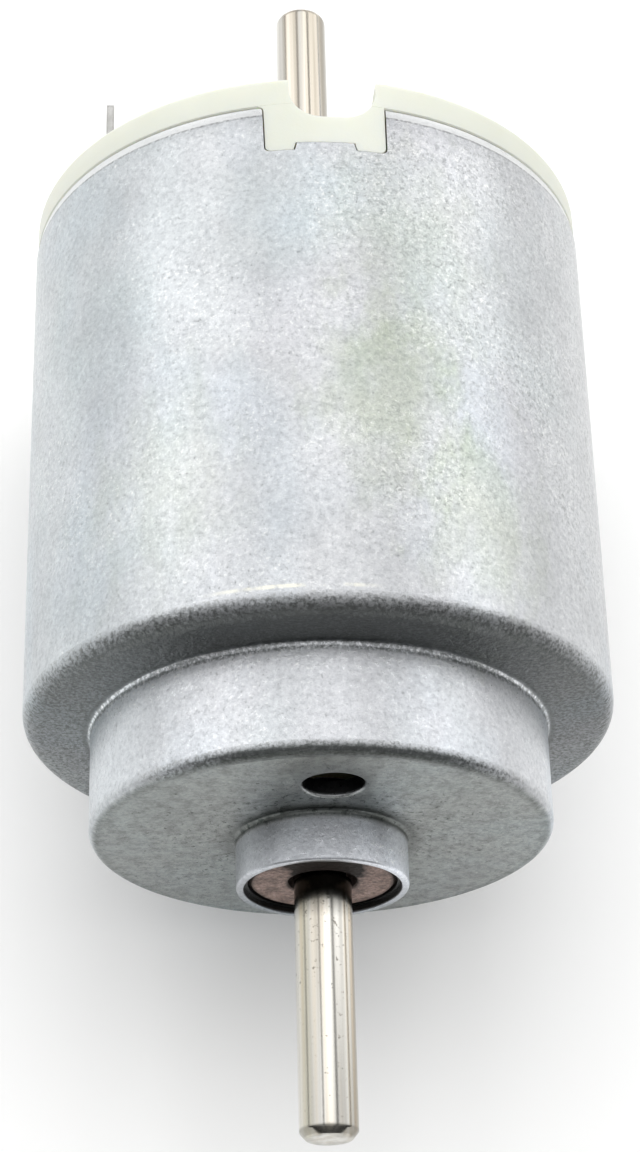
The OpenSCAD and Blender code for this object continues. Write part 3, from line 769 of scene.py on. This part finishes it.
def drill():
    """A drill along Y whose front end flares, so the hole that it cuts has a rounded mouth at y = 0."""
    low, high = -CUT_PAST, 1.5 * MM
    wide = FIXING_R + FIXING_FLARE
    outline = [(0, low), (wide, low), (wide, -HAIR)]
    for i in range(7):
        a = math.radians(15 * i)
        outline.append((wide - FIXING_FLARE * math.sin(a), FIXING_FLARE - FIXING_FLARE * math.cos(a)))
    outline += [(FIXING_R, high), (0, high)]
    return lathe("drill", outline, DRILL_STEPS)


def key_outline(grow, corner, back):
    """Outline of the key or of its slot, in X and Y, with two feet and a shallow middle."""
    half = KEY_W / 2 + grow
    middle = KEY_W / 2 - KEY_FOOT - grow
    front = RIM_Y - KEY_LEN + (0 if grow else KEY_PLAY)
    tongue = front + KEY_STEP
    points = [(-half - KEY_FLARE, back), (-half - KEY_FLARE, RIM_Y)]
    points += arc((-half - KEY_FLARE, RIM_Y - KEY_FLARE), KEY_FLARE, 80, 0, 5)
    points += arc((-half + corner + KEY_TAPER, front + corner), corner, 180, 270, 5)
    points += [(-middle - KEY_SLANT, front), (-middle, tongue), (middle, tongue), (middle + KEY_SLANT, front)]
    points += arc((half - corner, front + corner), corner, 270, 360, 5)
    points += [(half, back)]
    return [(x + KEY_X, y) for x, y in points]


def pressed_block(name, margin, low, high, angle):
    """A rounded block under the can's side: a lug, or the dent that it leaves outside."""
    outline = rectangle(-LUG_W / 2 + margin, LUG_W / 2 - margin, LUG_Y + margin, LUG_Y + LUG_LEN - margin)
    return turned(round_edges(prism(name, outline, low, high), LUG_ROUND), angle)


def motor_can(material):
    can = lathe("can_shell", can_outline())
    outside = CAN_R + CUT_PAST
    lugs, dents = [], []
    for side in SIDES:
        angle = math.pi + side * LUG_ANGLE
        lugs.append(pressed_block("lug", 0, CAN_R - WALL - LUG_DEPTH, CAN_R - WALL / 2, angle))
        dents.append(pressed_block("dent", DENT_MARGIN, CAN_R - LUG_DEPTH, outside, angle))
    holes = [moved(turned(drill(), OFF_GRID), z=side * FIXING_PITCH_R) for side in SIDES]
    slot = prism("slot", key_outline(KEY_PLAY, SLOT_CORNER, RIM_Y + CUT_PAST), KEY_ROOT, outside)
    carve(can, lugs, "UNION")
    carve(can, dents + holes + [slot])
    can.name = "can_shell"
    settle(can, material, STATOR, "motor_can")


def front_bush(material):
    bore, soft = SHAFT_R + BORE_PLAY, 0.05 * MM
    face, back = BUSH_FACE, bush_high[1]
    dish_floor = face + BUSH_DISH_DEPTH
    outline = [(BUSH_DISH_R + soft, face), (BUSH_R - BUSH_CHAMFER, face), (BUSH_R, face + BUSH_CHAMFER),
               (BUSH_R, back - soft), (BUSH_R - soft, back), (bore + soft, back), (bore, back - soft),
               (bore, dish_floor), (BUSH_DISH_R, dish_floor), (BUSH_DISH_R, face + soft)]
    settle(lathe("front_bush", outline, BUSH_STEPS), material, STATOR, "front_bearing")


def rear_bush(material):
    radius, bore, soft = rear_bush_high[0], SHAFT_R + BORE_PLAY, 0.08 * MM
    front, back = rear_bush_low[1], rear_bush_high[1]
    outline = [(bore + soft, front), (radius - soft, front), (radius, front + soft), (radius, back - soft),
               (radius - soft, back), (bore + soft, back), (bore, back - soft), (bore, front + soft)]
    settle(lathe("rear_bush", outline, BUSH_STEPS), material, STATOR, "rear_bearing")


def cap_outline():
    bore = rear_bush_high[0]
    bush_front, bush_back = rear_bush_low[1] + CAP_WEB, rear_bush_high[1]
    skirt = CAN_R - WALL - SKIRT_PLAY
    soft, rear_soft = CAP_SOFT, CAP_REAR_SOFT
    points = [(skirt - soft, SKIRT_FRONT), (skirt, SKIRT_FRONT + soft), (skirt, FLANGE_FRONT),
              (FLANGE_R - soft * 0.4, FLANGE_FRONT), (FLANGE_R, FLANGE_FRONT + soft * 0.4)]
    points += arc((FLANGE_R - rear_soft, FLANGE_BACK - rear_soft), rear_soft, 0, 90, 6)
    points += arc((CAP_BOSS_R + soft, FLANGE_BACK + soft), soft, -90, -180, 4)
    points += arc((CAP_BOSS_R - soft, CAP_BACK - soft), soft, 0, 90, 5)
    points += [(CAP_LIP_R + soft * 0.5, CAP_BACK), (CAP_LIP_R, CAP_BACK - soft * 0.5), (CAP_LIP_R, bush_back),
               (bore, bush_back), (bore, bush_front), (CAP_BOSS_R, bush_front), (CAP_BOSS_R, FLANGE_FRONT),
               (SKIRT_IN, FLANGE_FRONT), (SKIRT_IN, SKIRT_FRONT + soft), (SKIRT_IN + soft, SKIRT_FRONT)]
    return points


def cap_key():
    """The key, trimmed round so that it ends just inside the flange's own surface."""
    key = prism("key", key_outline(0, KEY_CORNER, FLANGE_BACK - 0.3 * MM), KEY_ROOT, CAN_R + CUT_PAST)
    sunk_r, sink_y = FLANGE_R - 0.1 * MM, FLANGE_FRONT + 0.03 * MM
    trim = lathe("trim", [(0, SKIRT_FRONT), (FLANGE_R, SKIRT_FRONT), (FLANGE_R, sink_y),
                          (sunk_r, sink_y + 0.15 * MM), (sunk_r, CAP_BACK), (0, CAP_BACK)], CAP_STEPS)
    return carve(key, [trim], "INTERSECT")


def cap_notch():
    half, bottom = NOTCH_W / 2, FLANGE_BACK - NOTCH_LEN
    wide = half + NOTCH_MOUTH
    outline = [(wide, FLANGE_BACK + CUT_PAST), (wide, FLANGE_BACK)]
    outline += arc((wide, FLANGE_BACK - NOTCH_MOUTH), NOTCH_MOUTH, 90, 180, 5)
    outline += arc((half - NOTCH_CORNER, bottom + NOTCH_CORNER), NOTCH_CORNER, 0, -90, 10)
    outline += [(-x, y) for x, y in reversed(outline)]
    return prism("notch", [(x + NOTCH_X, y) for x, y in outline], KEY_ROOT - 0.1 * MM, CAN_R + CUT_PAST)


def terminal_slot(side):
    across, up = TAB_T / 2 + TAB_PLAY, TAB_W / 2 + TAB_PLAY
    x, z = side * TAB_X, -side * TAB_LIFT
    return prism("slot", rectangle(x - across, x + across, z - up, z + up),
                 FLANGE_FRONT - CUT_PAST, FLANGE_BACK + CUT_PAST, up="Y")


def brush_post(side):
    """The stepped pin that a brush arm turns on."""
    front = cap_low[1]
    outline = [(0, front), (POST_R - POST_EDGE, front), (POST_R, front + POST_EDGE), (POST_R, POST_FOOT_Y),
               (POST_FOOT_R - 0.05 * MM, POST_FOOT_Y), (POST_FOOT_R, POST_FOOT_Y + 0.05 * MM),
               (POST_FOOT_R, POST_ROOT_Y), (0, POST_ROOT_Y)]
    return moved(lathe("post", outline, POST_STEPS), x=side * POST_X, z=POST_Z)


def end_cap(material):
    cap = lathe("end_cap_moulding", cap_outline(), CAP_STEPS)
    carve(cap, [cap_key()], "UNION")
    carve(cap, [cap_notch()] + [terminal_slot(side) for side in SIDES])
    carve(cap, [brush_post(side) for side in SIDES], "UNION")
    cap.name = "end_cap_moulding"
    settle(cap, material, STATOR, "end_cap")


def terminal_foot(side, front, low):
    """The inner end of a terminal, bent towards its brush post."""
    path = [Vector((TAB_X, low + 0.05 * MM)), Vector(FOOT_BEND), Vector(FOOT_END)]
    outer, inner = [], []
    for i, point in enumerate(path):
        ahead = path[min(i + 1, 2)] - path[max(i - 1, 0)]
        normal = Vector((-ahead.y, ahead.x)).normalized() * TAB_T / 2
        outer.append((side * (point.x + normal.x), point.y + normal.y))
        inner.append((side * (point.x - normal.x), point.y - normal.y))
    return prism("foot", outer + inner[::-1], front + HAIR, FOOT_BACK, up="Y")


def terminal(side, material):
    front, back = tab_low[1], tab_high[1]
    x, middle, half = side * TAB_X, -side * TAB_LIFT, TAB_W / 2
    low, high = middle - half, middle + half
    outline = [(front, low), (back - TAB_CORNER, low), (back, low + TAB_CORNER), (back, high - TAB_CORNER),
               (back - TAB_CORNER, high), (front, high)]
    tab = prism("tab", outline, x - TAB_T / 2, x + TAB_T / 2, up="X")
    ring = arc((back - half, middle), EYELET_R, 0, 352.5, 47)
    carve(tab, [prism("eyelet", ring, x - CUT_PAST, x + CUT_PAST, up="X")])
    carve(tab, [terminal_foot(side, front, low)], "UNION")
    round_edges(tab, TAB_SOFT, 2)
    hand = "left" if side < 0 else "right"
    tab.name = f"terminal_blade_{hand}"
    settle(tab, material, STATOR, f"terminal_{hand}")


# ---------------------------------------------------------------- pieces of the rotor
def shaft_piece(material):
    r, neck = SHAFT_R, SHAFT_R - NECK_DEPTH
    front, back = NOSE_Y, shaft_high[1]
    rear_face = rear_bush_high[1]
    outline = [(0, front), (r - NOSE - NOSE_SOFT, front), (r - NOSE - NOSE_SOFT * 0.3, front)]
    outline += arc((r - NOSE * 0.9, front + NOSE_SOFT), NOSE_SOFT, -75, -48, 3)
    outline += arc((r - NOSE_SOFT, front + NOSE), NOSE_SOFT, -42, 0, 4)
    outline += [(r, BUSH_FACE), (neck, BUSH_FACE), (neck, BUSH_FACE + NECK_LEN), (r, BUSH_FACE + NECK_LEN),
                (r, rear_face - NECK_LEN), (neck, rear_face - NECK_LEN), (neck, rear_face), (r, rear_face)]
    outline += arc((r - TAIL, back - TAIL), TAIL, 0, 80, 9)
    outline += [(r - TAIL * 1.2, back), (0, back)]
    settle(lathe("shaft_rod", outline, SHAFT_STEPS), material, ROTOR, "shaft")


def winding_path():
    """The middle line of one coil's wire: layers of a continuous wire round a web."""
    y_low, y_high = stack_low[1] - STACK_CLEAR, stack_high[1] + STACK_CLEAR
    middle = (y_low + y_high) / 2
    path = []
    for layer in range(WIRE_LAYERS):
        outwards = layer % 2 == 0
        off = WIRE * (0.5 + layer * LAYER_PITCH)
        w = WEB_HALF + off
        h = (y_high - y_low) / 2 + off
        top = math.sqrt(COIL_R_HIGH ** 2 - (w + WIRE / 2) ** 2) - WIRE / 2
        turns = range(int((top - COIL_R_LOW) / WIRE))
        corner = COIL_CORNER + off
        lap = []
        for cx, cy, start in ((w - corner, h - corner, 0), (-w + corner, h - corner, 90),
                              (-w + corner, -h + corner, 180), (w - corner, -h + corner, 270)):
            lap += arc((cx, cy), corner, start, start + 90, 4)
        for turn in (turns if outwards else reversed(turns)):
            for k, (x, y) in enumerate(lap):
                drift = (k / len(lap)) * (1 if outwards else -1)
                path.append(Vector((x, middle + y, COIL_R_LOW + WIRE * (0.5 + turn + drift))))
    return path


def winding(i, material):
    tube = sweep(f"winding_{i + 1}", winding_path(), WIRE / 2 * WIRE_FILL, WIRE_SIDES)
    turned(tube, i * 2 * math.pi / 3)
    settle(tube, material, ROTOR, f"coil_{i + 1}")


def sweep(name, path, radius, sides):
    """A round wire along a path of points, with flat ends."""
    bm = bmesh.new()
    rings = []
    previous = None
    for k, point in enumerate(path):
        ahead = (path[min(k + 1, len(path) - 1)] - path[max(k - 1, 0)]).normalized()
        side = previous - ahead * previous.dot(ahead) if previous else ahead.orthogonal()
        side.normalize()
        previous = side
        other = ahead.cross(side)
        ring = []
        for j in range(sides):
            a = 2 * math.pi * j / sides
            ring.append(bm.verts.new(point + radius * (math.cos(a) * side + math.sin(a) * other)))
        rings.append(ring)
    for one, other in zip(rings, rings[1:]):
        for j in range(sides):
            bm.faces.new((one[j], one[(j + 1) % sides], other[(j + 1) % sides], other[j]))
    bm.faces.new(rings[0])
    bm.faces.new(rings[-1])
    return finish_mesh(bm, name)


# ---------------------------------------------------------------- studio
def floor_material():
    s = Shader("pale_floor", Roughness=0.7)
    s.bsdf.inputs["Specular IOR Level"].default_value = 0.1
    s.bsdf.inputs["Emission Color"].default_value = (1.0, 1.0, 0.99, 1)
    s.bsdf.inputs["Emission Strength"].default_value = FLOOR_GLOW
    return s.finish(s.ramp(s.noise(0.05, 3, 0.5), (0.3, (0.87, 0.87, 0.865)), (0.7, (0.89, 0.89, 0.885))))


def studio():
    bm = bmesh.new()
    corners = rectangle(-FLOOR_HALF, FLOOR_HALF, -FLOOR_HALF, FLOOR_HALF)
    bm.faces.new([bm.verts.new((x, y, can_low[2])) for x, y in corners])
    floor = finish_mesh(bm, "studio_floor")
    floor.data.materials.append(floor_material())
    tent()
    soft_sun()


def tent():
    """A white light tent with two seams along its roof and its opening on the camera's side."""
    world = bpy.data.worlds.new("studio")
    bpy.context.scene.world = world
    world.use_nodes = True
    tree = world.node_tree
    background = tree.nodes["Background"]

    def node(kind, *values, **settings):
        made = tree.nodes.new("ShaderNode" + kind)
        for key, value in settings.items():
            setattr(made, key, value)
        for socket, value in zip(made.inputs, values):
            if isinstance(value, bpy.types.NodeSocket):
                tree.links.new(value, socket)
            else:
                socket.default_value = value
        return made

    strength = node("Mix", data_type="FLOAT")
    tree.links.new(node("LightPath").outputs["Is Camera Ray"], strength.inputs[0])
    tree.links.new(tent_level(node), strength.inputs[2])
    strength.inputs[3].default_value = BACKDROP
    tree.links.new(strength.outputs[0], background.inputs["Strength"])
    background.inputs["Color"].default_value = (1.0, 1.0, 1.0, 1)


def tent_level(node):
    """How bright the tent is, by the direction in which it lies."""
    def math_node(operation, *values):
        return node("Math", *values, operation=operation).outputs["Value"]

    def ease(value, *span):
        return node("MapRange", value, *span, interpolation_type="SMOOTHSTEP").outputs["Result"]

    way = node("SeparateXYZ", node("TexCoord").outputs["Generated"])
    x, y, z = (way.outputs[axis] for axis in "XYZ")
    front = ease(z, 0.1, 0.95, *TENT_FRONT)
    level = ease(y, -0.25, 0.42, front, TENT_BACK)
    level = math_node("MULTIPLY", level, ease(y, 0.6, 1.0, 1, TENT_END))
    level = math_node("MULTIPLY", level, ease(math_node("ABSOLUTE", x), 0.1, 0.85, *TENT_TOP_SIDE))
    level = math_node("MULTIPLY", level, ease(z, 0.0, 0.2, *TENT_LOW_HIGH))
    roll = math_node("ARCTAN2", x, z)
    for seam, depth in TENT_SEAMS:
        off = math_node("ABSOLUTE", math_node("SUBTRACT", roll, math.radians(seam)))
        level = math_node("MULTIPLY", level, ease(off, SEAM_CORE, SEAM_REACH, 1 - depth, 1))
    return level


def soft_sun():
    """A wide, even light over the whole floor, which the metal doesn't mirror."""
    light = bpy.data.lights.new("overhead", "SUN")
    light.energy = OVERHEAD
    light.angle = OVERHEAD_WIDTH
    obj = bpy.data.objects.new("overhead", light)
    obj.rotation_mode = "QUATERNION"
    obj.rotation_quaternion = (-Vector(OVERHEAD_FROM)).to_track_quat("-Z", "Y")
    obj.visible_glossy = False
    bpy.context.scene.collection.objects.link(obj)


def camera():
    """Looks down on the motor from in front of its drive end."""
    data = bpy.data.cameras.new("camera")
    obj = bpy.data.objects.new("camera", data)
    bpy.context.scene.collection.objects.link(obj)
    back = -Vector(CAMERA_FORWARD).normalized()
    up = back.cross(Vector(CAMERA_RIGHT)).normalized()
    right = up.cross(back)
    turn = Matrix((right, up, back)).transposed().to_4x4()
    obj.matrix_world = Matrix.Translation(Vector(CAMERA_PLACE) * MM) @ turn
    data.lens = CAMERA_LENS
    data.sensor_width = CAMERA_SENSOR
    data.clip_start = 1 * MM
    data.clip_end = 10
    bpy.context.scene.camera = obj


# ---------------------------------------------------------------- the motor
camera()
studio()
finishes = make_materials()
motor_can(finishes["zinc_steel"])
front_bush(finishes["sintered_bronze"])
rear_bush(finishes["sintered_bronze"])
end_cap(finishes["ivory_nylon"])
shaft_piece(finishes["shaft_steel"])
for side in SIDES:
    terminal(side, finishes["tinned_brass"])
for i in range(3):
    winding(i, finishes["enamelled_copper"])
for part in frame["record"]["subparts"]:
    node = frame["nodes"][part["node"]]
    if not node.hide_render:
        node.data.materials.clear()
        node.data.materials.append(finishes[part["material_slot"]])
bpy.context.scene.view_settings.view_transform = "Standard"
